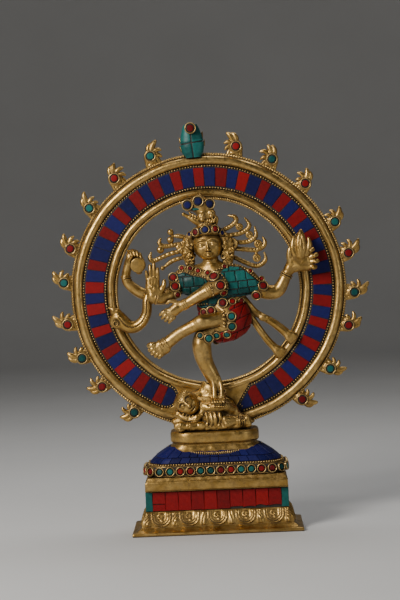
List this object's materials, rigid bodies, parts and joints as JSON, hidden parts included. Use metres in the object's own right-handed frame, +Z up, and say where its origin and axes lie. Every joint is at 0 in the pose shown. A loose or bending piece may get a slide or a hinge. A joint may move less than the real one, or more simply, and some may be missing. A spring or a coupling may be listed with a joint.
{
  "type": "brass nataraja statue",
  "caption": "Brass dancing-figure statue in a flaming stone-inlaid ring on a stepped inlaid pedestal; a free-standing table ornament.",
  "frame": {"origin": "middle of the pedestal's underside, on the surface that the statue stands on", "axes": "+Z up, +X to the viewer's right when the dancer faces the viewer, +Y away from the viewer"},
  "size_m": [0.2642, 0.068, 0.3413],
  "materials": {
    "cast_brass": "polished with dark patina in the hollows",
    "wire_brass": "polished",
    "lapis_stone": "satin",
    "coral_stone": "satin",
    "turquoise_stone": "satin",
    "black_mastic": "matt",
    "steel_fixings": "plain zinc-plated"
  },
  "bodies": {
    "root": {"foot_plinth": "cast_brass", "die_block": "cast_brass", "cornice": "cast_brass", "dome_shoulder": "cast_brass", "neck_slab": "cast_brass", "die_mastic": "black_mastic", "die_coral_tiles": "coral_stone", "die_turquoise_strips": "turquoise_stone", "dome_lapis_tiles": "lapis_stone", "dome_bead_wire": "wire_brass", "neck_serrated_wire": "wire_brass", "gem_row_mastic": "black_mastic", "gem_row_bezels": "wire_brass", "gem_row_corals": "coral_stone", "gem_row_turquoises": "turquoise_stone", "anchor_bolt": "steel_fixings", "anchor_nut": "steel_fixings", "ring_screws": "steel_fixings", "ring_casting": "cast_brass", "ring_mastic": "black_mastic", "ring_lapis_tiles": "lapis_stone", "ring_coral_tiles": "coral_stone", "ring_bead_wires": "wire_brass", "flame_finials": "cast_brass", "flame_bezels": "wire_brass", "flame_corals": "coral_stone", "flame_turquoises": "turquoise_stone", "crest_finial": "cast_brass", "crest_turquoise_tiles": "turquoise_stone", "torso": "cast_brass", "head": "cast_brass", "crown": "cast_brass", "crown_bezels": "wire_brass", "crown_lapis": "lapis_stone", "crown_corals": "coral_stone", "crown_turquoise_bar": "turquoise_stone", "hair_left": "cast_brass", "hair_right": "cast_brass", "ear_ornaments": "cast_brass", "crossing_arm": "cast_brass", "blessing_arm": "cast_brass", "drum_arm": "cast_brass", "hand_drum": "cast_brass", "fire_arm": "cast_brass", "palm_flame": "cast_brass", "lifted_leg": "cast_brass", "standing_leg": "cast_brass", "sash_ends": "cast_brass", "serpent": "cast_brass", "bodice_turquoise_tiles": "turquoise_stone", "hip_coral_tiles": "coral_stone", "limb_bezels": "wire_brass", "limb_corals": "coral_stone", "limb_turquoises": "turquoise_stone", "dwarf_body": "cast_brass", "dwarf_head": "cast_brass"}
  },
  "joints": []
}
